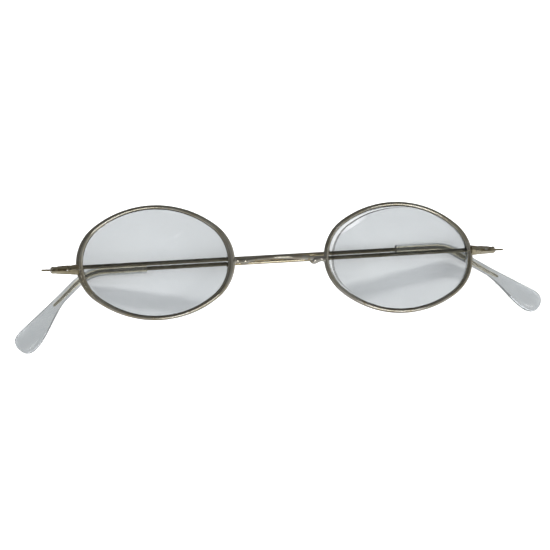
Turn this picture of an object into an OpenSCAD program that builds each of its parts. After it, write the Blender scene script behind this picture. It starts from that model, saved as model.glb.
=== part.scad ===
// Oval wire spectacles, lying on their folded sides with the lenses facing up.
// +X runs to the wearer's left, +Y to the top of the lenses and +Z out of the front.
// The origin is the middle of the bridge line, in the plane of the rims. Lengths are in mm.

/* [Lenses] */
// Distance between the centres of the two lenses
lens_spacing = 65.2; // [60:0.1:72]
// Half width of the oval that the rim wire follows
oval_half_w = 19.9; // [17:0.1:23]
// Half height of the oval that the rim wire follows
oval_half_h = 14.2; // [12.5:0.05:16]
// Turn of the right rim in its own plane, anticlockwise from the front
rim_turn_right = 0; // [-5:0.5:5]
// Turn of the left rim in its own plane, anticlockwise from the front
rim_turn_left = -3; // [-5:0.5:5]
// Radius of the oval's round ends
oval_end_r = 11.2; // [9:0.1:12]
// Thickness of a lens at its middle
lens_t = 1.7; // [1.4:0.1:2.4]
// Radius of both faces of a lens
lens_face_r = 220; // [160:10:400]

/* [Rims] */
// Radial thickness of the rim wire
rim_w = 1.5; // [1.2:0.05:1.8]
// Depth of the rim wire, from front to back
rim_d = 1.7; // [1.4:0.05:2.2]
// Depth of the groove that holds the lens
groove_depth = 0.42; // [0.3:0.02:0.5]
// Width of that groove
groove_w = 0.6; // [0.5:0.05:0.8]
// Gap where each rim is split, beside its joint
split_gap = 0.2; // [0.1:0.05:0.3]

/* [Bridge] */
// Diameter of the bridge wire
bridge_d = 1.25; // [1:0.05:1.5]
// Distance between the two ends of the arch
bridge_span = 18.6; // [16:0.2:20]
// How far the arch stands out in front of the rims
bridge_forward = 2.1; // [1:0.1:4]
// How far the arch rises towards the top of the lenses
bridge_rise = 0.65; // [0:0.05:2]
// Greatest diameter of the swelling at each end of the bridge
foot_d = 2.05; // [1.6:0.05:2.4]
// Diameter of that swelling where it meets the rim
foot_root_d = 1.5; // [1.2:0.05:1.8]

/* [Joints] */
// Distance from the middle of the spectacles to each hinge screw
hinge_x = 58.4; // [57.5:0.1:60]
// Distance from the hinge screw to the outer end of its block
block_overhang = 1.4; // [1.2:0.1:2]
// Diameter of the block at the rim
block_root_d = 2.7; // [2.4:0.05:3]
// Diameter of the block at its outer end
block_tip_d = 1.8; // [1.6:0.05:2]
// Height of the right joint over the middle of the lenses
joint_level_right = -1.35; // [-2:0.05:2]
// Height of the left joint over the middle of the lenses
joint_level_left = 1.5; // [-2:0.05:2]
// Thickness of the temple's joint plate
plate_t = 0.5; // [0.4:0.02:0.6]
// Clearance on each side of that plate, between the two halves of the block
plate_play = 0.06; // [0.03:0.01:0.1]
// Length of the thin stop beyond the hinge screw
stop_len = 3.4; // [3:0.05:4.2]
// Diameter of the hinge screw
hinge_screw_d = 0.7; // [0.6:0.05:0.8]
// Diameter of the screw that closes the rim
closing_screw_d = 0.8; // [0.7:0.05:0.9]
// Radial play of the joint plate on the hinge screw
hinge_play = 0.04; // [0.02:0.01:0.08]

/* [Temples] */
// Diameter of the temple wire
wire_d = 0.98; // [0.8:0.02:1]
// Distance from the hinge screw to the middle of the folded wire behind it
wire_offset = 2.05; // [1.95:0.05:2.6]
// Height of the wire over the middle of its joint plate
wire_jog = 0.38; // [0.2:0.02:0.45]
// Angle by which each folded temple slopes back from the front
fold_slope = 2.6; // [2:0.1:4]
// Rise of the right temple along its length, in degrees
temple_rise_right = 2.1; // [1.8:0.1:3]
// Rise of the left temple along its length, in degrees
temple_rise_left = -1.9; // [-3:0.1:-1.6]

/* [Tips] */
// Distance from the right hinge screw to the start of its tip
tip_start_right = 92.2; // [85:0.2:98]
// Distance from the left hinge screw to the start of its tip
tip_start_left = 93.4; // [85:0.2:98]
// Distance from the right hinge screw to the corner of its tip
corner_at_right = 106.5; // [102:0.5:112]
// Distance from the left hinge screw to the corner of its tip
corner_at_left = 108.5; // [102:0.5:112]
// Drop of the right tip, in degrees
tip_drop_right = 31.6; // [25:0.1:50]
// Drop of the left tip, in degrees
tip_drop_left = 42.2; // [25:0.1:50]
// Length of the right tip past its corner
tip_reach_right = 31.5; // [24:0.5:34]
// Length of the left tip past its corner
tip_reach_left = 26.7; // [24:0.1:34]
// Radius of the bend at the corner
bend_r = 12; // [8:0.5:16]
// Diameter of the round part of the tip
sleeve_d = 2.35; // [2:0.05:2.8]
// Width of the flat end of the tip
paddle_w = 6.2; // [5:0.1:7]
// Length over which the tip widens
flare_len = 18; // [10:0.5:22]
// Length of the blunt, rounded end
blunt_len = 3.5; // [2.5:0.1:6]
// Thickness of the flat end of the tip
paddle_t = 2.6; // [2.2:0.1:3]
// How far the end of the tip curves in towards the head
tip_inward = 1.4; // [0:0.1:3]
// Length of the tip past the end of the wire inside it
tip_past_wire = 14; // [10:1:18]
// Diameter of the end of that wire
core_end_d = 0.5; // [0.4:0.05:0.8]

/* [Hidden] */
$fn = 64;

// Each side as [mirrored, joint level, temple rise, corner distance, drop, reach past the corner,
// tip start, rim turn]
right_side = [0, joint_level_right, temple_rise_right, corner_at_right, tip_drop_right, tip_reach_right,
  tip_start_right, rim_turn_right];
left_side = [1, joint_level_left, temple_rise_left, corner_at_left, tip_drop_left, tip_reach_left,
  tip_start_left, rim_turn_left];

// The oval has four arcs: end arcs about (+-end_x, 0) and long arcs about (0, -+long_y)
end_x = oval_half_w - oval_end_r;
long_r = (end_x * end_x + oval_half_h * oval_half_h - oval_end_r * oval_end_r)
  / (2 * (oval_half_h - oval_end_r));
long_y = long_r - oval_half_h;
end_angle = atan2(long_y, end_x);
// Where one arc runs into another, the second is this much slimmer, so that its ends lie inside the first
slim = 0.985;
arc_lap = 0.4;
straight_lap = 0.1;
overlap = 0.02;

// The tongue round a lens that sits in the rim's groove, and how far the lens's middle stands forward
lens_gap = 0.03;
tongue_gap = 0.05;
lens_bulge = 0.25;
outline_step = 3;

// The joint block, and where its two screws stand
rim_outer_x = lens_spacing / 2 + oval_half_w + rim_w / 2;
block_root_x = rim_outer_x - 0.45;
block_end_x = hinge_x + block_overhang;
chamfer = 0.45;
slot_h = plate_t + 2 * plate_play;
slot_reach = 3.1;
closing_x = rim_outer_x + 1.5;
thread_play = 0.01;
head_h = 0.35;
head_inset = 0.12;
driver_slot_w = 0.16;
driver_slot_depth = 0.16;

// The temple's joint plate
eye_r = 0.82;
stop_h = 0.42;
plate_lap = 3;
wire_from = 0.9;

bridge_sag = sqrt(bridge_forward * bridge_forward + bridge_rise * bridge_rise);
bridge_r = (bridge_span * bridge_span / 4 + bridge_sag * bridge_sag) / (2 * bridge_sag);
bridge_half_angle = asin(bridge_span / 2 / bridge_r);
bridge_tilt = atan2(bridge_forward, bridge_rise);
foot_x = bridge_span / 2 - 0.2;
foot_y = 0.1;

// Stations along a tip past the end of its straight part, and sides of each ring
tip_rings = 44;
tip_sides = 20;
flare_end = 3;
paddle_shift = 0.8;
mouth_chamfer = 0.2;

function smooth(t) = let (c = max(0, min(1, t))) c * c * (3 - 2 * c);
function sign_of(side) = side[0] == 0 ? -1 : 1;
// Length of straight wire before the bend, and the lengths of the bend and of what follows it
function bend_cut(side) = bend_r * tan(side[4] / 2);
function bend_start(side) = side[3] - bend_cut(side);
function bend_len(side) = bend_r * side[4] * PI / 180;
function after_bend(side) = side[5] - bend_cut(side);

// The middle line of a tip at length s past the bend's start: [along, up, heading]
function tip_point(side, s) =
  let (a = min(s / bend_len(side), 1) * side[4], rest = max(0, s - bend_len(side)))
  [
    bend_start(side) + bend_r * sin(a) + rest * cos(a),
    -bend_r * (1 - cos(a)) - rest * sin(a),
    a
  ];

// How wide and thick a tip is at distance e from its end
function round_end(e) = pow(max(0.0005, 1 - pow(max(0, 1 - e / blunt_len), 2.6)), 1 / 2.6);
function flare(e) = smooth((flare_len - e) / (flare_len - flare_end));
function tip_width(e) = sleeve_d + (paddle_w - sleeve_d) * flare(e);
function tip_thick(e) = sleeve_d + (paddle_t - sleeve_d) * flare(e);

// One ring of points round a tip, at length s past the bend's start
function tip_ring(side, s, total) =
  let (
    e = total - s,
    p = tip_point(side, s),
    half_w = tip_width(e) / 2 * round_end(e),
    half_t = tip_thick(e) / 2 * sqrt(round_end(e)),
    shift = (tip_width(e) - sleeve_d) / 2 * paddle_shift,
    inward = tip_inward * pow(s / total, 2)
  )
  [for (i = [0:tip_sides - 1])
    let (
      a = 360 * i / tip_sides,
      v = half_w * cos(a) - shift
    )
    [p[0] + v * sin(p[2]), p[1] + v * cos(p[2]), inward + half_t * sin(a)]
  ];

// Skins rings of points into one closed solid
module loft(rings) {
  n = len(rings[0]);
  m = len(rings);
  points = [for (ring = rings) each ring];
  walls = [for (j = [0:m - 2]) for (i = [0:n - 1]) let (k = (i + 1) % n) each [
    [j * n + i, j * n + k, (j + 1) * n + k],
    [j * n + i, (j + 1) * n + k, (j + 1) * n + i]
  ]];
  caps = [[for (i = [n - 1:-1:0]) i], [for (i = [0:n - 1]) (m - 1) * n + i]];
  polyhedron(points = points, faces = concat(walls, caps));
}

// Places children drawn at the right lens or joint, and mirrors them for the left side
module on_lens(side) {
  translate([sign_of(side) * lens_spacing / 2, 0, 0]) rotate([0, 0, side[7]]) mirror([side[0], 0, 0])
    children();
}

module at_joint(side) {
  mirror([side[0], 0, 0]) translate([0, side[1], 0]) children();
}

// The folded temple's own frame: +X along the temple from its hinge screw
module at_hinge(side) {
  at_joint(side) translate([-hinge_x, 0, 0]) rotate([0, fold_slope, 0]) children();
}

module along_wire(side) {
  at_hinge(side) translate([0, wire_jog, -wire_offset]) rotate([0, 0, side[2]]) children();
}

// Sweeps a section round the oval; the section's x is measured outwards from the oval line
module sweep_oval() {
  for (s = [0, 1]) {
    mirror([s, 0, 0]) translate([end_x, 0, 0]) rotate([0, 0, -end_angle])
      rotate_extrude(angle = 2 * end_angle) translate([oval_end_r, 0]) children();
    mirror([0, s, 0]) translate([0, -long_y, 0]) rotate([0, 0, end_angle - arc_lap])
      rotate_extrude(angle = 180 - 2 * end_angle + 2 * arc_lap)
        translate([long_r, 0]) scale(slim) children();
  }
}

// Points of the region inside the oval line, made smaller by inset
function arc_points(centre, r, from, to) =
  [for (a = [from:(to - from) / ceil((to - from) / outline_step):to - 0.01]) centre + r * [cos(a), sin(a)]];
function oval_points(inset) = concat(
  arc_points([end_x, 0], oval_end_r - inset, -end_angle, end_angle),
  arc_points([0, -long_y], long_r - inset, end_angle, 180 - end_angle),
  arc_points([-end_x, 0], oval_end_r - inset, 180 - end_angle, 180 + end_angle),
  arc_points([0, long_y], long_r - inset, 180 + end_angle, 360 - end_angle)
);

// A straight-sided wire section with round front and back, grooved on its inner side
module rim_section() {
  flank = (rim_d - rim_w) / 2;
  difference() {
    union() {
      square([rim_w, 2 * flank], center = true);
      for (s = [-1, 1]) translate([0, s * flank]) circle(d = rim_w);
    }
    translate([-rim_w / 2 - rim_w + groove_depth, -groove_w / 2]) square([rim_w, groove_w]);
  }
}

module rim(side) {
  color("khaki") difference() {
    on_lens(side) sweep_oval() rim_section();
    at_joint(side) translate([-rim_outer_x, 0, 0]) cube([4 * rim_w, split_gap, 2 * rim_d], center = true);
  }
}

module lens(side) {
  tongue_h = groove_w - 2 * tongue_gap;
  color("lightsteelblue", 0.5) on_lens(side) {
    intersection() {
      linear_extrude(4 * lens_t, center = true) polygon(oval_points(rim_w / 2 + lens_gap));
      translate([0, 0, lens_bulge + lens_t / 2 - lens_face_r]) sphere(r = lens_face_r, $fn = 200);
      difference() {
        cube([3 * oval_half_w, 3 * oval_half_h, 6 * lens_t], center = true);
        translate([0, 0, lens_bulge - lens_t / 2 - lens_face_r]) sphere(r = lens_face_r, $fn = 200);
      }
    }
    linear_extrude(tongue_h, center = true) polygon(oval_points(rim_w / 2 - groove_depth + tongue_gap));
  }
}

module bridge() {
  color("khaki") translate([0, foot_y, 0]) rotate([bridge_tilt, 0, 0])
    translate([0, bridge_sag - bridge_r, 0]) rotate([0, 0, 90 - bridge_half_angle])
      rotate_extrude(angle = 2 * bridge_half_angle) translate([bridge_r, 0]) circle(d = bridge_d, $fn = 32);
}

module bridge_foot(side) {
  inner_rim_x = lens_spacing / 2 - oval_half_w - rim_w / 2;
  color("khaki") translate([sign_of(side) * foot_x, foot_y, 0]) rotate([0, sign_of(side) * 90, 0]) {
    sphere(d = foot_d, $fn = 32);
    cylinder(d1 = foot_d, d2 = foot_root_d, h = inner_rim_x + 0.2 - foot_x, $fn = 32);
  }
}

// The tapered block, before it is split: its axis runs along X from the rim outwards
module block_body() {
  length = block_end_x - block_root_x - chamfer;
  rotate([0, -90, 0]) translate([0, 0, block_root_x]) {
    cylinder(d1 = block_root_d, d2 = block_tip_d, h = length);
    translate([0, 0, length]) cylinder(d1 = block_tip_d, d2 = block_tip_d - 2 * chamfer, h = chamfer);
  }
}

module upright_hole(x, r) {
  translate([-x, 0, 0]) rotate([90, 0, 0]) cylinder(r = r, h = 2 * block_root_d, center = true, $fn = 32);
}

// Radius of the block at distance x from the middle of the spectacles
function block_r(x) = (block_root_d + (block_tip_d - block_root_d)
  * (x - block_root_x) / (block_end_x - block_root_x - chamfer)) / 2;
function head_y(x) = block_r(x) - head_inset;

// One half of a joint block: up is 1 for the half above the split and -1 for the one below
module block(side, up) {
  color("goldenrod") at_joint(side) intersection() {
    difference() {
      block_body();
      translate([-rim_outer_x, 0, 0]) cube([8 * rim_w, split_gap, block_root_d], center = true);
      translate([-block_end_x - overlap, -slot_h / 2, -block_root_d])
        cube([block_overhang + slot_reach + overlap, slot_h, 2 * block_root_d]);
      upright_hole(hinge_x, hinge_screw_d / 2 + thread_play);
      upright_hole(closing_x, closing_screw_d / 2 + thread_play);
      if (up == 1) {
        head_seat(hinge_x, hinge_screw_d);
        head_seat(closing_x, closing_screw_d);
      }
    }
    translate([-block_end_x - 1, up == 1 ? 0 : -block_root_d, -block_root_d])
      cube([block_end_x - block_root_x + 2, block_root_d, 2 * block_root_d]);
  }
}

module head_seat(x, d) {
  translate([-x, head_y(x) - head_h - thread_play, 0]) rotate([-90, 0, 0])
    cylinder(d = 1.55 * d + 2 * thread_play, h = block_root_d, $fn = 32);
}

// A screw whose slotted head lies in the top of the block, just under its surface
module screw(side, x, d) {
  color("silver") at_joint(side) translate([-x, head_y(x), 0]) rotate([90, 0, 0]) difference() {
    union() {
      cylinder(d = 1.55 * d, h = head_h, $fn = 32);
      cylinder(d = d, h = head_y(x) + block_r(x) - 0.15, $fn = 32);
    }
    cube([2 * d, driver_slot_w, 2 * driver_slot_depth], center = true);
  }
}

// The flat plate that turns on the hinge screw, with its eye, its arm to the wire and its stop
module temple_joint(side) {
  color("goldenrod") at_hinge(side) difference() {
    rotate([90, 0, 0]) linear_extrude(plate_t, center = true) {
      circle(r = eye_r);
      translate([-stop_len, -stop_h / 2]) square([stop_len, stop_h]);
      translate([-stop_len, 0]) circle(d = stop_h, $fn = 32);
      polygon([
        [-eye_r, 0], [-eye_r * 0.8, -wire_offset - wire_d / 2],
        [plate_lap, -wire_offset - wire_d / 2], [plate_lap, -wire_offset + wire_d / 2],
        [1.2, -wire_offset + wire_d / 2], [eye_r, 0]
      ]);
    }
    rotate([90, 0, 0]) cylinder(d = hinge_screw_d + 2 * hinge_play, h = 2, center = true, $fn = 32);
  }
}

// A straight wire with a bend near its end, carried on inside the tip, where it tapers
module temple_wire(side) {
  past_bend = after_bend(side) - tip_past_wire;
  color("khaki") along_wire(side) {
    translate([wire_from, 0, 0]) rotate([0, 90, 0])
      cylinder(d = wire_d, h = bend_start(side) - wire_from + straight_lap);
    translate([bend_start(side), -bend_r, 0]) rotate([0, 0, 90 - side[4]]) {
      rotate_extrude(angle = side[4]) translate([bend_r, 0]) circle(d = slim * wire_d);
      translate([bend_r, straight_lap, 0]) rotate([90, 0, 0])
        cylinder(d1 = wire_d, d2 = core_end_d, h = past_bend + straight_lap);
    }
  }
}

// The clear tip: a round sleeve on the wire that flattens into a paddle past the corner
module temple_tip(side) {
  total = bend_len(side) + after_bend(side);
  color("lightgray", 0.6) along_wire(side) loft(concat(
    [for (cut = [mouth_chamfer, 0]) [for (k = [0:tip_sides - 1])
      let (a = 360 * k / tip_sides, r = sleeve_d / 2 - cut) [side[6] - cut, r * cos(a), r * sin(a)]]],
    [for (j = [0:tip_rings]) tip_ring(side, total * (1 - pow(1 - j / tip_rings, 1.5)), total)]
  ));
}

rim(right_side);  // rim_right
rim(left_side);  // rim_left
lens(right_side);  // lens_right
lens(left_side);  // lens_left
bridge();
bridge_foot(right_side);  // bridge_foot_right
bridge_foot(left_side);  // bridge_foot_left
block(right_side, 1);  // block_upper_right
block(right_side, -1);  // block_lower_right
block(left_side, 1);  // block_upper_left
block(left_side, -1);  // block_lower_left
screw(right_side, closing_x, closing_screw_d);  // closing_screw_right
screw(left_side, closing_x, closing_screw_d);  // closing_screw_left
screw(right_side, hinge_x, hinge_screw_d);  // hinge_screw_right
screw(left_side, hinge_x, hinge_screw_d);  // hinge_screw_left
temple_joint(right_side);  // temple_joint_right
temple_joint(left_side);  // temple_joint_left
temple_wire(right_side);  // temple_wire_right
temple_wire(left_side);  // temple_wire_left
temple_tip(right_side);  // temple_tip_right
temple_tip(left_side);  // temple_tip_left
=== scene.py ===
"""Wire spectacles with oval lenses, lying face up on their folded temples on a pale floor.

Shapes are worked out in millimetres in the CAD model's frame: +X to the wearer's left, +Y to the tops of
the lenses, +Z out of the front. A side is -1 for the wearer's right and +1 for the left.
"""
import math

import bmesh
import bpy
from mathutils import Matrix, Quaternion, Vector


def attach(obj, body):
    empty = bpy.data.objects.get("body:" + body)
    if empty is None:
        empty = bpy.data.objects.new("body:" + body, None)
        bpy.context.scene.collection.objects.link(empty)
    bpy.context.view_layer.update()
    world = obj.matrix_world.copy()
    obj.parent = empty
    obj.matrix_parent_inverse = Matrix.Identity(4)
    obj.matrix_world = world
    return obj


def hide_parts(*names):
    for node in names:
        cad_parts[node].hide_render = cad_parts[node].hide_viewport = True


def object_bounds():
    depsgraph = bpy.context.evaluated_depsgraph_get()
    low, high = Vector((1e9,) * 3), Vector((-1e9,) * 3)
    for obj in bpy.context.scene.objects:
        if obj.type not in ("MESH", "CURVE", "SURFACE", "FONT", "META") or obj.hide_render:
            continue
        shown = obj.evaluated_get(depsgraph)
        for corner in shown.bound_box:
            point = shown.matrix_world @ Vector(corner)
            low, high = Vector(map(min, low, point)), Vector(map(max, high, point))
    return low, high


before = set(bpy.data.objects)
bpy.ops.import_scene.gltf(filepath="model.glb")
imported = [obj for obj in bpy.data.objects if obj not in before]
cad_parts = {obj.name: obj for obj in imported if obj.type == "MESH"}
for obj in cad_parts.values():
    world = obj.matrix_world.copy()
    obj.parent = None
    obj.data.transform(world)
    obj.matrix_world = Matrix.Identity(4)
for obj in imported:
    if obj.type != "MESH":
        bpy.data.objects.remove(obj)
CAD_BOX = [list(corner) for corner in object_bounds()]

MM = 0.001
RIGHT, LEFT = -1, 1
NAMES = {RIGHT: "right", LEFT: "left"}

# Rims: the oval that their wire follows, its turn in its own plane (degrees) and its section
LENS_X = 32.6
OVAL_W, OVAL_H, OVAL_END_R = 19.9, 14.2, 11.2
RIM_TURN = {RIGHT: 0.0, LEFT: -3.0}
RIM_W, RIM_D = 1.5, 1.7
RIM_STATIONS = 260
# How far the wire reaches inwards past its plain section: all round, at both sides, and towards the nose.
# It is drawn only here, and so are the crescent on the left lens and the narrower split in the rims.
RIM_MORE = {RIGHT: (0.0, 0.34, 0.05), LEFT: (-0.22, 0.05, -0.1)}
# The groove's floor and half its width, how much it widens at its mouth, and the rim's split
GROOVE_IN, GROOVE_H, GROOVE_LIP = 0.33, 0.3, 0.02
SPLIT_GAP = 0.1

# Lenses: thickness, radius of both faces, how far their middle stands forward, and the mesh's rings
LENS_T, LENS_R, LENS_BULGE = 1.7, 220.0, 0.25
LENS_STATIONS, LENS_SPREAD = 180, (0.015, 0.1, 0.2, 0.35, 0.5, 0.65, 0.8, 0.92, 1.0)
# Their polished bevel (across, down), the play inside the rim, and the tongue in its groove
BEVEL_IN, BEVEL_DOWN, RIM_PLAY = 0.19, 0.14, 0.03
TONGUE_PLAY, TONGUE_H, TONGUE_ROOT = 0.05, 0.2, 0.02
# The lens's crescent towards the nose, a band of clearer glass that is a painted highlight, with a painted
# shade line along its inner side: its width, heading and shape, and its inner line
CRESCENT_W = {RIGHT: 0.0, LEFT: 0.95}
CRESCENT_HEADING, CRESCENT_POWER, CRESCENT_LINE = 16.0, 1.9, 0.24

# Bridge: its wire, its arch, how much it thickens past SWELL_FROM of each half, and its solder feet
BRIDGE_D, BRIDGE_SPAN, BRIDGE_FORWARD, BRIDGE_RISE = 1.25, 18.6, 2.1, 0.65
BRIDGE_Y = 0.1
BRIDGE_STATIONS, BRIDGE_SIDES = 90, 28
SWELL, SWELL_FROM = 0.1, 0.72
FOOT_OVER_WIRE, FOOT_INTO_RIM, FOOT_FLATTEN, FOOT_SIDES = 1.15, 0.3, 0.97, 36
FOOT_HANG = {RIGHT: 0.3, LEFT: 2.4}
# A foot from the wire to the rim: (fraction of its length, radius, drop)
FOOT_PROFILE = [(0.0, 0.30, 0.05), (0.012, 0.58, 0.06), (0.04, 0.74, 0.08), (0.09, 0.84, 0.11),
                (0.16, 0.95, 0.14), (0.25, 1.02, 0.15), (0.35, 1.02, 0.13), (0.46, 0.94, 0.09),
                (0.56, 0.84, 0.04), (0.66, 0.77, 0.0), (0.75, 0.74, -0.02), (0.83, 0.76, -0.02),
                (0.9, 0.84, -0.01), (1.0, 0.98, 0.0)]

# Temples: where they hinge, how they lie when folded, and the wire, which is drawn a little thicker than
# the CAD's 0.98 mm so that the two lie as close together as the photograph shows
HINGE_X = 58.4
LEVEL = {RIGHT: -1.35, LEFT: 1.5}
TEMPLE_RISE = {RIGHT: 2.1, LEFT: -1.9}
FOLD_SLOPE = 2.6
WIRE_D, WIRE_OFFSET, WIRE_JOG, WIRE_FROM = 1.07, 2.05, 0.38, 0.9
WIRE_SIDES = 24
# The wire's blunt start (along, share of radius), and where it has its full radius
WIRE_START, WIRE_BLUNT = [(0.0, 0.6), (0.06, 0.86)], 0.2
# The bend at the ear: distance of its corner from the hinge, drop (degrees), and length past the corner
CORNER = {RIGHT: 106.5, LEFT: 108.5}
DROP = {RIGHT: 31.6, LEFT: 42.2}
REACH = {RIGHT: 31.5, LEFT: 26.7}
BEND_R = 12.0

# Tips: the wire's end inside, the round sleeve with its mouth (along, share of radius), and the paddle
CORE_END_D, CORE_ROUND, TIP_PAST_WIRE = 0.5, 0.3, 14.0
TIP_START = {RIGHT: 92.2, LEFT: 93.4}
TIP_MOUTH = [(-0.16, 0.46), (-0.2, 0.7), (-0.17, 0.9), (-0.06, 0.98), (0.12, 1.0)]
TIP_SIDES, TIP_STATIONS = 48, 120
SLEEVE_D, PADDLE_W, PADDLE_T, TIP_INWARD = 2.35, 6.2, 2.6, 1.4
FLARE_LEN, FLARE_END, PADDLE_SHIFT = 18.0, 3.0, 0.8
BLUNT_LEN, BLUNT_POWER = 3.5, 2.6

# Refined CAD nodes: what counts as an edge and what as flat (degrees), how close two points are one, and
# how broad the broken edges are
EDGE_DEG, FLAT_DEG, WELD = 32, 1.0, 0.0005
BROKEN, BROKEN_SCREW = 0.06, 0.03


# ---------------------------------------------------------------- mesh helpers

def skin(rings):
    """Points and faces of a capped tube through equal rings of points: strip by strip, then the two caps."""
    n, m = len(rings[0]), len(rings)
    points = [p for ring in rings for p in ring]
    faces = []
    for j in range(m - 1):
        a, b = j * n, (j + 1) * n
        faces += [(a + i, a + (i + 1) % n, b + (i + 1) % n, b + i) for i in range(n)]
    faces += [tuple(range(n))[::-1], tuple(range((m - 1) * n, m * n))]
    return points, faces


def circle_ring(centre, across, up, r_across, r_up, sides):
    """A ring of points round a centre, in the plane of two unit vectors."""
    ring = []
    for i in range(sides):
        a = math.tau * i / sides
        ring.append(centre + across * (r_across * math.cos(a)) + up * (r_up * math.sin(a)))
    return ring


def finish_mesh(obj, sharp_deg):
    """Consistent outward faces, smooth except along edges sharper than sharp_deg."""
    bm = bmesh.new()
    bm.from_mesh(obj.data)
    bmesh.ops.recalc_face_normals(bm, faces=bm.faces)
    for face in bm.faces:
        face.smooth = True
    bm.to_mesh(obj.data)
    bm.free()
    obj.data.set_sharp_from_angle(angle=math.radians(sharp_deg))


def declare(obj, body, stands_for):
    """Put a piece on the body it rides on, and hide the CAD node it stands for."""
    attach(obj, body)
    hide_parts(stands_for)


def add_piece(name, shape, material, body, stands_for, sharp_deg=38, place=None):
    """A new visible piece from (points, faces) in mm; place is a matrix applied to the points."""
    points, faces = shape
    place = place or Matrix.Identity(4)
    mesh = bpy.data.meshes.new(name)
    mesh.from_pydata([tuple((place @ Vector(p)) * MM) for p in points], [], faces)
    obj = bpy.data.objects.new(name, mesh)
    bpy.context.scene.collection.objects.link(obj)
    finish_mesh(obj, sharp_deg)
    mesh.materials.append(material)
    declare(obj, body, stands_for)
    return obj


def refine_cad(node, name, material, body, bevel_mm):
    """A new visible piece from a copy of a CAD node, with its edges softly broken."""
    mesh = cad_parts[node].data.copy()
    mesh.name = name
    obj = bpy.data.objects.new(name, mesh)
    bpy.context.scene.collection.objects.link(obj)
    bm = bmesh.new()
    bm.from_mesh(mesh)
    bmesh.ops.remove_doubles(bm, verts=bm.verts, dist=WELD * MM)
    bmesh.ops.dissolve_limit(bm, angle_limit=math.radians(FLAT_DEG), verts=bm.verts, edges=bm.edges)
    bm.to_mesh(mesh)
    bm.free()
    bevel = obj.modifiers.new("broken edges", "BEVEL")
    bevel.width = bevel_mm * MM
    bevel.segments = 2
    bevel.limit_method = "ANGLE"
    bevel.angle_limit = math.radians(EDGE_DEG)
    bevel.use_clamp_overlap = True
    mesh.materials.clear()
    mesh.materials.append(material)
    finish_mesh(obj, EDGE_DEG)
    declare(obj, body, node)


# ---------------------------------------------------------------- rims and lenses

OVAL_END_X = OVAL_W - OVAL_END_R
OVAL_LONG_R = (OVAL_END_X ** 2 + OVAL_H ** 2 - OVAL_END_R ** 2) / (2 * (OVAL_H - OVAL_END_R))
OVAL_LONG_Y = OVAL_LONG_R - OVAL_H
OVAL_END_ANGLE = math.degrees(math.atan2(OVAL_LONG_Y, OVAL_END_X))


def oval_point(heading, out=0.0):
    """The point of the oval whose outward direction is heading (degrees), moved outwards by out."""
    h = (heading + 180) % 360 - 180
    if abs(h) <= OVAL_END_ANGLE:
        centre, r = (OVAL_END_X, 0), OVAL_END_R
    elif abs(h) >= 180 - OVAL_END_ANGLE:
        centre, r = (-OVAL_END_X, 0), OVAL_END_R
    else:
        centre, r = (0, -math.copysign(OVAL_LONG_Y, h)), OVAL_LONG_R
    c, s = math.cos(math.radians(h)), math.sin(math.radians(h))
    return centre[0] + (r + out) * c, centre[1] + (r + out) * s


def rim_profile():
    """The wire's section as (outwards, forwards) points: round front and back, and a groove inside."""
    r, flank = RIM_W / 2, (RIM_D - RIM_W) / 2
    front = [(r * math.cos(math.radians(a)), flank + r * math.sin(math.radians(a)))
             for a in range(0, 176, 7)]
    back = [(x, -z) for x, z in reversed(front)]
    mouth = GROOVE_H + GROOVE_LIP
    groove = [(-r, mouth), (-GROOVE_IN, GROOVE_H), (-GROOVE_IN, -GROOVE_H), (-r, -mouth)]
    return front + groove + back


def rim_inward(side, heading):
    """How much further in the wire reaches than its plain section."""
    h = math.radians(heading)
    around, swell, nasal = RIM_MORE[side]
    return around + swell * math.cos(2 * h) + nasal * math.cos(h)


def crescent(side, heading):
    """Width of the lens's polished edge."""
    facing = max(0, math.cos(math.radians(heading - CRESCENT_HEADING)))
    return CRESCENT_W[side] * facing ** CRESCENT_POWER


def rim_shape(side):
    """One oval wire, split on its outer side at the level of its joint."""
    profile = rim_profile()
    level = LEVEL[side] - side * OVAL_W * math.sin(math.radians(RIM_TURN[side]))
    middle = 180 - math.degrees(math.asin(level / OVAL_END_R))
    half_gap = math.degrees(SPLIT_GAP / 2 / OVAL_END_R)
    rings = []
    for j in range(RIM_STATIONS + 1):
        heading = middle - half_gap - (360 - 2 * half_gap) * j / RIM_STATIONS
        inward = rim_inward(side, heading)
        wide, shift = 1 + inward / RIM_W, -inward / 2
        rings.append([Vector((*oval_point(heading, out * wide + shift), z)) for out, z in profile])
    return skin(rings)


def lens_surface(x, y, lift):
    """Height of a lens's curved surface over its rim's plane, lift above the middle of its thickness."""
    return LENS_BULGE + lift - math.hypot(x, y) ** 2 / (2 * LENS_R)


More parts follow.
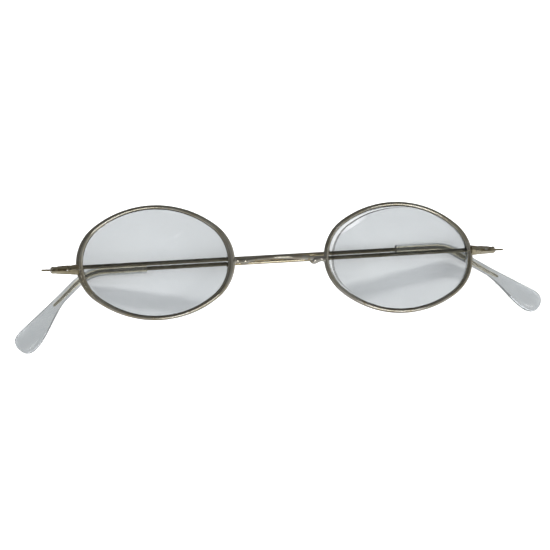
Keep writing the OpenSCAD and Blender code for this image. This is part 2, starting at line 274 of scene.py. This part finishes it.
def lens_shape(side):
    """A thin meniscus with a polished bevel and a tongue that sits in the rim's groove."""
    stations = [360 * k / LENS_STATIONS for k in range(LENS_STATIONS)]
    wall_out, tongue_out = -RIM_W / 2 - RIM_PLAY, -GROOVE_IN - TONGUE_PLAY
    face_out = wall_out - BEVEL_IN
    wall_lift, tongue_root = LENS_T / 2 - BEVEL_DOWN, TONGUE_H + TONGUE_ROOT

    def face_ring(f, lift, line=0.0, band=1.0):
        """A ring on a face, at f of its size, pulled in by the crescent's band and its line."""
        ring = []
        for h in stations:
            width = crescent(side, h)
            inset = width * band + line * min(1, width / CRESCENT_LINE)
            x, y = (c * f for c in oval_point(h, face_out - rim_inward(side, h) - inset))
            ring.append(Vector((x, y, lens_surface(x, y, lift))))
        return ring

    def edge_ring(out, lift, curved):
        """A ring on the edge, which follows the faces' curve where it is curved."""
        ring = []
        for h in stations:
            x, y = oval_point(h, out - rim_inward(side, h))
            ring.append(Vector((x, y, lens_surface(x, y, lift) if curved else lift)))
        return ring

    back, front = ([face_ring(f, lift, CRESCENT_LINE) for f in LENS_SPREAD]
                   + [face_ring(1.0, lift), face_ring(1.0, lift, band=0.0)]
                   for lift in (-LENS_T / 2, LENS_T / 2))
    front.reverse()
    edge = [
        edge_ring(wall_out, -wall_lift, True),
        edge_ring(wall_out, -tongue_root, False),
        edge_ring(tongue_out, -TONGUE_H, False),
        edge_ring(tongue_out, TONGUE_H, False),
        edge_ring(wall_out, tongue_root, False),
        edge_ring(wall_out, wall_lift, True),
    ]
    return skin(back + edge + front)


# ---------------------------------------------------------------- bridge

def bridge_shape():
    """An arched wire that thickens a little towards its ends."""
    sag = math.hypot(BRIDGE_FORWARD, BRIDGE_RISE)
    r = (BRIDGE_SPAN ** 2 / 4 + sag ** 2) / (2 * sag)
    half = math.asin(BRIDGE_SPAN / 2 / r)
    tilt = Matrix.Rotation(math.atan2(BRIDGE_FORWARD, BRIDGE_RISE), 3, "X")
    rings = []
    for j in range(BRIDGE_STATIONS + 1):
        t = 2 * j / BRIDGE_STATIONS - 1
        a = t * half
        centre = Vector((r * math.sin(a), sag - r + r * math.cos(a), 0))
        outward = Vector((math.sin(a), math.cos(a), 0))
        radius = BRIDGE_D / 2 * (1 + SWELL * max(0, abs(t) - SWELL_FROM) / (1 - SWELL_FROM))
        ring = circle_ring(centre, tilt @ outward, tilt @ Vector((0, 0, 1)), radius, radius, BRIDGE_SIDES)
        offset = tilt @ centre - centre + Vector((0, BRIDGE_Y, 0))
        rings.append([p + offset for p in ring])
    return skin(rings)


def foot_shape(side):
    """A smooth bead of solder, which hangs lower at the wearer's left."""
    start, end = BRIDGE_SPAN / 2 - FOOT_OVER_WIRE, LENS_X - OVAL_W - RIM_W / 2 + FOOT_INTO_RIM
    across, up = Vector((0, 1, 0)), Vector((0, 0, 1))
    rings = []
    for t, r, drop in FOOT_PROFILE:
        centre = Vector((side * (start + (end - start) * t), BRIDGE_Y - drop * FOOT_HANG[side], 0))
        rings.append(circle_ring(centre, across, up, r, r * FOOT_FLATTEN, FOOT_SIDES))
    return skin(rings)


# ---------------------------------------------------------------- temples

def wire_place(side):
    """From a temple wire's own frame, +X along it from the hinge screw, to the frame of the model."""
    mirror = Matrix.Diagonal((-side, 1, 1, 1))
    return (mirror
            @ Matrix.Translation((-HINGE_X, LEVEL[side], 0))
            @ Matrix.Rotation(math.radians(FOLD_SLOPE), 4, "Y")
            @ Matrix.Translation((0, WIRE_JOG, -WIRE_OFFSET))
            @ Matrix.Rotation(math.radians(TEMPLE_RISE[side]), 4, "Z"))


def bend_cut(side):
    """Distance from the corner to where its bend starts and ends."""
    return BEND_R * math.tan(math.radians(DROP[side]) / 2)


def bend_start(side):
    """Distance from the hinge screw to the start of the bend."""
    return CORNER[side] - bend_cut(side)


def tip_length(side):
    """Length of the middle line from the start of the bend to the end of the tip."""
    return BEND_R * math.radians(DROP[side]) + REACH[side] - bend_cut(side)


def tip_centre(side, s):
    """Middle line past the start of the bend: (along, up, heading in radians)."""
    bend = BEND_R * math.radians(DROP[side])
    a = min(s / bend, 1) * math.radians(DROP[side])
    rest = max(0, s - bend)
    return (bend_start(side) + BEND_R * math.sin(a) + rest * math.cos(a),
            -BEND_R * (1 - math.cos(a)) - rest * math.sin(a), a)


def smooth(t):
    """0 to 1 with a soft start and end."""
    c = max(0, min(1, t))
    return c * c * (3 - 2 * c)


def wire_ring(x, y, heading, r, sides):
    """A round ring across a temple's middle line."""
    across = Vector((math.sin(heading), math.cos(heading), 0))
    return circle_ring(Vector((x, y, 0)), across, Vector((0, 0, 1)), r, r, sides)


def temple_wire_shape(side):
    """Straight wire, bent at the ear, carried on inside the tip, where it tapers to a round end."""
    r = WIRE_D / 2
    past = tip_length(side) - TIP_PAST_WIRE
    straight, bent = 30, 60
    rings = [wire_ring(WIRE_FROM + x, 0, 0, r * f, WIRE_SIDES) for x, f in WIRE_START]
    start, run = WIRE_FROM + WIRE_BLUNT, bend_start(side) - WIRE_FROM - 2 * WIRE_BLUNT
    rings += [wire_ring(start + run * k / straight, 0, 0, r, WIRE_SIDES) for k in range(straight + 1)]
    for k in range(bent + 1):
        s = past * k / bent
        x, y, heading = tip_centre(side, s)
        core = r + (CORE_END_D / 2 - r) * smooth(s / past)
        end = math.sqrt(max(0.02, 1 - max(0, (s - past + CORE_ROUND) / CORE_ROUND) ** 2))
        rings.append(wire_ring(x, y, heading, core * end, WIRE_SIDES))
    return skin(rings)


def tip_shape(side):
    """A round sleeve with a rolled mouth that flattens into a paddle past the corner."""
    total = tip_length(side)
    r = SLEEVE_D / 2
    start, run = TIP_START[side], bend_start(side) - TIP_START[side]
    straight = 8
    crowding = 1.5  # how much closer the rings lie towards the end
    rings = [wire_ring(start + x, 0, 0, r * f, TIP_SIDES) for x, f in TIP_MOUTH]
    rings += [wire_ring(start + run * k / straight, 0, 0, r, TIP_SIDES) for k in range(1, straight)]
    for k in range(TIP_STATIONS + 1):
        t = 1 - (1 - k / TIP_STATIONS) ** crowding
        x, y, heading = tip_centre(side, total * t)
        to_end = total * (1 - t)
        spread = smooth((FLARE_LEN - to_end) / (FLARE_LEN - FLARE_END))
        width = SLEEVE_D + (PADDLE_W - SLEEVE_D) * spread
        thick = SLEEVE_D + (PADDLE_T - SLEEVE_D) * spread
        end = max(0.0005, 1 - max(0, 1 - to_end / BLUNT_LEN) ** BLUNT_POWER) ** (1 / BLUNT_POWER)
        shift = (width - SLEEVE_D) / 2 * PADDLE_SHIFT
        across = Vector((math.sin(heading), math.cos(heading), 0))
        centre = Vector((x, y, TIP_INWARD * t * t)) - across * shift
        rings.append(circle_ring(centre, across, Vector((0, 0, 1)),
                                 width / 2 * end, thick / 2 * math.sqrt(end), TIP_SIDES))
    return skin(rings)


# ---------------------------------------------------------------- materials

# How far out from the middle of the spectacles the clear tips start to turn a darker grey-blue, near the
# lenses' outer edges, and where they are fully that tint
TIP_TINT_FROM, TIP_TINT_TO = 49.0, 54.0


def set_range(node, *numbers):
    """The four ends of a Map Range node: from low, from high, to low, to high."""
    for socket, number in zip(("From Min", "From Max", "To Min", "To Max"), numbers):
        node.inputs[socket].default_value = number


def set_ramp(node, stops):
    """The (position, colour) stops of a Color Ramp node."""
    elements = node.color_ramp.elements
    while len(elements) < len(stops):
        elements.new(0.5)
    for element, (position, color) in zip(elements, stops):
        element.position = position
        element.color = (*color, 1)


class Nodes:
    """A small builder for one material's node tree."""

    def __init__(self, name):
        self.material = bpy.data.materials.new(name)
        self.material.use_nodes = True
        self.tree = self.material.node_tree
        self.shader = self.tree.nodes["Principled BSDF"]
        self.coords = self.tree.nodes.new("ShaderNodeTexCoord").outputs["Object"]

    def link(self, source, target):
        self.tree.links.new(source, target)

    def noise(self, scale, detail=3.0, rough=0.55, stretch=None, distortion=0.0):
        node = self.tree.nodes.new("ShaderNodeTexNoise")
        node.inputs["Scale"].default_value = scale
        node.inputs["Detail"].default_value = detail
        node.inputs["Roughness"].default_value = rough
        node.inputs["Distortion"].default_value = distortion
        source = self.coords
        if stretch:
            mapping = self.tree.nodes.new("ShaderNodeMapping")
            mapping.inputs["Scale"].default_value = stretch
            self.link(self.coords, mapping.inputs["Vector"])
            source = mapping.outputs["Vector"]
        self.link(source, node.inputs["Vector"])
        return node.outputs["Fac"]

    def ramp(self, value, stops):
        node = self.tree.nodes.new("ShaderNodeValToRGB")
        set_ramp(node, stops)
        self.link(value, node.inputs["Fac"])
        return node.outputs["Color"]

    def remap(self, value, low, high, out_low, out_high):
        node = self.tree.nodes.new("ShaderNodeMapRange")
        set_range(node, low, high, out_low, out_high)
        self.link(value, node.inputs["Value"])
        return node.outputs["Result"]

    def mix(self, factor, a, b):
        """Colour a or b by factor; either may be a socket or a plain colour."""
        node = self.tree.nodes.new("ShaderNodeMix")
        node.data_type = "RGBA"
        self.link(factor, node.inputs["Factor"])
        for name, color in (("A", a), ("B", b)):
            if isinstance(color, tuple):
                node.inputs[name].default_value = (*color, 1)
            else:
                self.link(color, node.inputs[name])
        return node.outputs["Result"]

    def bump(self, height, strength, distance):
        node = self.tree.nodes.new("ShaderNodeBump")
        node.inputs["Strength"].default_value = strength
        node.inputs["Distance"].default_value = distance
        self.link(height, node.inputs["Height"])
        return node.outputs["Normal"]

    def set(self, **values):
        """Constants on the shader's own sockets."""
        for name, value in values.items():
            self.shader.inputs[name.replace("_", " ")].default_value = value


def metal(name, tones, rough, scratch, wear_tone):
    """Polished plated metal with drifting tone, worn patches, fine scratches and polishing haze."""
    n = Nodes(name)
    n.set(Metallic=1.0)
    drift = n.noise(150, 3, 0.5)
    tone = n.ramp(drift, list(zip((0.3, 0.5, 0.7), tones)))
    worn = n.remap(n.noise(420, 5, 0.65, distortion=0.4), 0.56, 0.68, 0.0, 0.75)
    n.link(n.mix(worn, tone, wear_tone), n.shader.inputs["Base Color"])
    haze = n.noise(700, 4, 0.6)
    n.link(n.remap(haze, 0.3, 0.7, *rough), n.shader.inputs["Roughness"])
    scratches = n.noise(1.0, 4, 0.7, (5200, 1400, 5200))
    n.link(n.bump(scratches, scratch, 0.006 * MM), n.shader.inputs["Normal"])
    return n.material


def glass(name, tones):
    """Glass with a faint cloud in its cast and a trace of smears."""
    n = Nodes(name)
    n.set(IOR=1.5, Transmission_Weight=1.0)
    cloud = n.noise(60, 3, 0.5)
    n.link(n.ramp(cloud, list(zip((0.3, 0.7), tones))), n.shader.inputs["Base Color"])
    smear = n.noise(1.0, 3, 0.6, (120, 420, 120), 0.8)
    n.link(n.remap(smear, 0.4, 0.8, 0.0, 0.004), n.shader.inputs["Roughness"])
    return n.material


def tip_material():
    """Clear moulded plastic, darker grey-blue outside the lenses and nearly clear under them, with shallow
    moulding waves.
    """
    n = Nodes("clear tip plastic")
    n.set(IOR=1.46, Transmission_Weight=0.94)
    cloud = n.noise(240, 4, 0.6)
    outer_tint = n.ramp(cloud, [(0.25, (0.46, 0.485, 0.505)), (0.75, (0.56, 0.585, 0.60))])
    split = n.tree.nodes.new("ShaderNodeSeparateXYZ")
    n.link(n.coords, split.inputs["Vector"])
    outward = n.tree.nodes.new("ShaderNodeMath")
    outward.operation = "ABSOLUTE"
    n.link(split.outputs["X"], outward.inputs[0])
    # Nearly clear under the lenses, darker grey-blue outside them
    fade = n.remap(outward.outputs["Value"], TIP_TINT_FROM * MM, TIP_TINT_TO * MM, 0.0, 1.0)
    n.link(n.mix(fade, (0.86, 0.88, 0.89), outer_tint), n.shader.inputs["Base Color"])
    haze = n.noise(300, 2, 0.5)
    n.link(n.remap(haze, 0.3, 0.7, 0.05, 0.12), n.shader.inputs["Roughness"])
    waves = n.noise(260, 2, 0.5)
    n.link(n.bump(waves, 0.2, 0.08 * MM), n.shader.inputs["Normal"])
    return n.material


def floor_material():
    """Pale matt card with a fine fibre."""
    n = Nodes("pale floor")
    fibre = n.noise(900, 5, 0.6)
    tone = n.ramp(fibre, [(0.3, (0.86, 0.865, 0.87)), (0.7, (0.89, 0.89, 0.89))])
    n.link(tone, n.shader.inputs["Base Color"])
    n.set(Roughness=0.85, Specular_IOR_Level=0.2)
    n.link(n.bump(fibre, 0.08, 0.05 * MM), n.shader.inputs["Normal"])
    return n.material


GOLD_WIRE = metal("polished pale gold", [(0.52, 0.475, 0.37), (0.67, 0.64, 0.55), (0.73, 0.71, 0.645)],
                  (0.08, 0.17), 0.25, (0.58, 0.50, 0.33))
GOLD_TEMPLE = metal("polished yellow gold", [(0.56, 0.49, 0.33), (0.74, 0.66, 0.47), (0.80, 0.74, 0.58)],
                    (0.10, 0.2), 0.25, (0.58, 0.48, 0.28))
GOLD_JOINT = metal("warm gold joint", [(0.56, 0.49, 0.33), (0.70, 0.63, 0.45), (0.76, 0.71, 0.57)],
                   (0.24, 0.36), 0.3, (0.55, 0.42, 0.22))
# The temple joint plates' gold, darker than the blocks'
DARKER_GOLD_PLATE = metal("darker gold plate", [(0.25, 0.21, 0.135), (0.40, 0.335, 0.22), (0.54, 0.47, 0.32)],
                   (0.26, 0.4), 0.35, (0.42, 0.35, 0.2))
SCREW = metal("turned steel", [(0.30, 0.27, 0.22), (0.40, 0.37, 0.32), (0.48, 0.46, 0.43)],
              (0.2, 0.36), 0.4, (0.36, 0.30, 0.2))
GLASS = glass("clear lens glass", [(0.364, 0.379, 0.389), (0.374, 0.389, 0.396)])
# Painted highlight and painted shade: the crescent's clearer glass and its near-black inner line
EDGE_PAINTED_HIGHLIGHT = glass("lens edge painted highlight", [(0.47, 0.48, 0.485), (0.53, 0.54, 0.54)])
EDGE_PAINTED_SHADE_LINE = glass("lens edge painted shade line", [(0.05, 0.05, 0.05), (0.08, 0.08, 0.075)])
TIP = tip_material()


# ---------------------------------------------------------------- the pieces

def lens_place(side):
    """From a rim's own frame, +X towards the nose, to the frame of the model."""
    turn = Matrix.Rotation(math.radians(RIM_TURN[side]), 4, "Z")
    return Matrix.Translation((side * LENS_X, 0, 0)) @ turn @ Matrix.Diagonal((-side, 1, 1, 1))


def paint_crescent(lens):
    """Clearer glass on the crescent as a painted highlight, and its dark inner line as painted shade, on
    both faces of the lens.
    """
    lens.data.materials.append(EDGE_PAINTED_HIGHLIGHT)
    lens.data.materials.append(EDGE_PAINTED_SHADE_LINE)
    faces = lens.data.polygons
    strips = (len(faces) - 2) // LENS_STATIONS  # without the two caps
    line = len(LENS_SPREAD) - 1
    for strip, slot in ((line, 2), (line + 1, 1)):
        for j in (strip, strips - 1 - strip):
            for k in range(j * LENS_STATIONS, (j + 1) * LENS_STATIONS):
                faces[k].material_index = slot


for side, name in NAMES.items():
    temple = f"{name}_temple"
    add_piece(f"rim_{name}.wire", rim_shape(side), GOLD_WIRE, "front", f"rim_{name}",
              place=lens_place(side))
    lens = add_piece(f"lens_{name}.glass", lens_shape(side), GLASS, "front", f"lens_{name}",
                     sharp_deg=20, place=lens_place(side))
    # The left lens's crescent: a painted highlight band and a painted shade line
    if CRESCENT_W[side]:
        paint_crescent(lens)
    lens.visible_shadow = False
    lens.visible_diffuse = False
    add_piece(f"bridge_foot_{name}.solder", foot_shape(side), GOLD_WIRE, "front",
              f"bridge_foot_{name}", sharp_deg=60)
    for node in (f"block_upper_{name}", f"block_lower_{name}"):
        refine_cad(node, f"{node}.half", GOLD_JOINT, "front", BROKEN)
    for node in (f"closing_screw_{name}", f"hinge_screw_{name}"):
        refine_cad(node, f"{node}.steel", SCREW, "front", BROKEN_SCREW)
    node = f"temple_joint_{name}"
    refine_cad(node, f"{node}.plate", DARKER_GOLD_PLATE, temple, BROKEN)
    add_piece(f"temple_wire_{name}.wire", temple_wire_shape(side), GOLD_TEMPLE, temple,
              f"temple_wire_{name}", place=wire_place(side))
    tip = add_piece(f"temple_tip_{name}.sleeve", tip_shape(side), TIP, temple,
                    f"temple_tip_{name}", sharp_deg=50, place=wire_place(side))
    tip.visible_shadow = False
add_piece("bridge.arch", bridge_shape(), GOLD_WIRE, "front", "bridge")


# ---------------------------------------------------------------- floor, light and camera

# The floor's half width in metres, and how far under the folded temples it lies
FLOOR_HALF, FLOOR_BELOW = 0.6, 0.02 * MM

# Light from around, by height (0 straight below, 1 straight above), and the side it is stronger on:
# the range of that side's share, and what it is scaled to
SKY_LEVELS = [(0.0, 0.3), (0.3, 0.3), (0.5, 0.5), (0.68, 0.42), (0.86, 0.27), (0.95, 0.25), (1.0, 0.32)]
SKY_TINT = (1.0, 0.99, 0.97)
BRIGHT_SIDE = (0.5, -0.85, 0.0)
BRIGHT_RANGE = (-0.45, 0.7, 0.32, 1.12)
BACKDROP = (0.93, 0.94, 0.95, 1)

# Camera: the direction it looks from, the point it looks at (mm), its distance, roll and focal length
CAMERA_TOWARD = (-0.1919, -0.0349, 0.98081)
CAMERA_TARGET = (-1.4026, -3.9409, 0)
CAMERA_DISTANCE, CAMERA_ROLL, CAMERA_LENS = 0.360, -0.0309, 89.51


def add_floor():
    """Directly under the temples, for their close soft shadows; metal and glass do not mirror it."""
    bm = bmesh.new()
    bmesh.ops.create_grid(bm, x_segments=8, y_segments=8, size=FLOOR_HALF)
    mesh = bpy.data.meshes.new("floor")
    bm.to_mesh(mesh)
    bm.free()
    mesh.materials.append(floor_material())
    floor = bpy.data.objects.new("floor", mesh)
    floor.location.z = CAD_BOX[0][2] - FLOOR_BELOW
    floor.visible_glossy = False
    bpy.context.scene.collection.objects.link(floor)


def add_area(name, place, target, size_x, size_y, power, color, mirrored=True, spin=0, spread=180):
    """A rectangular light; spin turns it about its own direction, and spread is its beam (degrees)."""
    light = bpy.data.lights.new(name, "AREA")
    light.shape = "RECTANGLE"
    light.size, light.size_y = size_x, size_y
    light.energy = power
    light.color = color
    light.spread = math.radians(spread)
    obj = bpy.data.objects.new(name, light)
    obj.location = place
    aim = (Vector(target) - Vector(place)).to_track_quat("-Z", "Y")
    obj.rotation_euler = (aim @ Quaternion((0, 0, 1), math.radians(spin))).to_euler()
    obj.visible_glossy = mirrored
    obj.visible_transmission = False
    bpy.context.scene.collection.objects.link(obj)


def add_world():
    """A soft studio, brightest towards the horizon on one side, and pale where the camera sees it."""
    world = bpy.data.worlds.new("studio")
    world.use_nodes = True
    bpy.context.scene.world = world
    tree = world.node_tree
    background = tree.nodes["Background"]
    coords = tree.nodes.new("ShaderNodeTexCoord")
    split = tree.nodes.new("ShaderNodeSeparateXYZ")
    height = tree.nodes.new("ShaderNodeMapRange")
    height.inputs["From Min"].default_value = -1
    ramp = tree.nodes.new("ShaderNodeValToRGB")
    set_ramp(ramp, [(place, [level * tint for tint in SKY_TINT]) for place, level in SKY_LEVELS])
    side = tree.nodes.new("ShaderNodeVectorMath")
    side.operation = "DOT_PRODUCT"
    side.inputs[1].default_value = BRIGHT_SIDE
    share = tree.nodes.new("ShaderNodeMapRange")
    set_range(share, *BRIGHT_RANGE)
    scaled = tree.nodes.new("ShaderNodeVectorMath")
    scaled.operation = "SCALE"
    path = tree.nodes.new("ShaderNodeLightPath")
    mix = tree.nodes.new("ShaderNodeMix")
    mix.data_type = "RGBA"
    mix.inputs["B"].default_value = BACKDROP
    for source, target in (
        (coords.outputs["Generated"], split.inputs["Vector"]),
        (split.outputs["Z"], height.inputs["Value"]),
        (height.outputs["Result"], ramp.inputs["Fac"]),
        (coords.outputs["Generated"], side.inputs[0]),
        (side.outputs["Value"], share.inputs["Value"]),
        (ramp.outputs["Color"], scaled.inputs[0]),
        (share.outputs["Result"], scaled.inputs["Scale"]),
        (scaled.outputs["Vector"], mix.inputs["A"]),
        (path.outputs["Is Camera Ray"], mix.inputs["Factor"]),
        (mix.outputs["Result"], background.inputs["Color"]),
    ):
        tree.links.new(source, target)


def add_camera():
    """Nearly straight above, leaning a little to the wearer's right."""
    toward = Vector(CAMERA_TOWARD).normalized()
    right = Vector((0, 1, 0)).cross(toward).normalized()
    up = toward.cross(right)
    c, s = math.cos(CAMERA_ROLL), math.sin(CAMERA_ROLL)
    turned_right, turned_up = right * c + up * s, up * c - right * s
    camera = bpy.data.cameras.new("camera")
    camera.sensor_width = 36
    camera.lens = CAMERA_LENS
    camera.clip_start = 0.01
    camera.clip_end = 10
    obj = bpy.data.objects.new("camera", camera)
    axes = Matrix((turned_right, turned_up, toward)).transposed().to_4x4()
    place = Vector(CAMERA_TARGET) * MM + toward * CAMERA_DISTANCE
    obj.matrix_world = Matrix.Translation(place) @ axes
    bpy.context.scene.collection.objects.link(obj)
    bpy.context.scene.camera = obj


add_floor()
add_world()
add_area("overhead fill", (-0.05, 0.05, 0.62), (0, 0, 0), 1.4, 1.4, 15.0, (0.97, 0.985, 1.0),
         mirrored=False)
add_area("lower softbox", (0.15, -0.27, 0.56), (0, 0, 0), 0.26, 0.09, 0.42, (1.0, 0.99, 0.97))
add_area("low key", (0.02, 0.62, 0.14), (0, 0, 0), 0.12, 0.03, 10.0, (1.0, 0.985, 0.96), mirrored=False)
# Two narrow beams that only draw a pale streak on each lens
add_area("right lens streak", (-0.094, -0.029, 0.6), (-0.048, -0.007, 0), 0.07, 0.008, 0.00003, (1, 1, 1),
         spin=12, spread=7)
add_area("left lens streak", (0.118, 0.107, 0.6), (0.04, 0.01, 0), 0.1, 0.007, 0.000022, (1, 0.97, 0.98),
         spin=70, spread=7)
bpy.context.scene.view_settings.view_transform = "Standard"
add_camera()
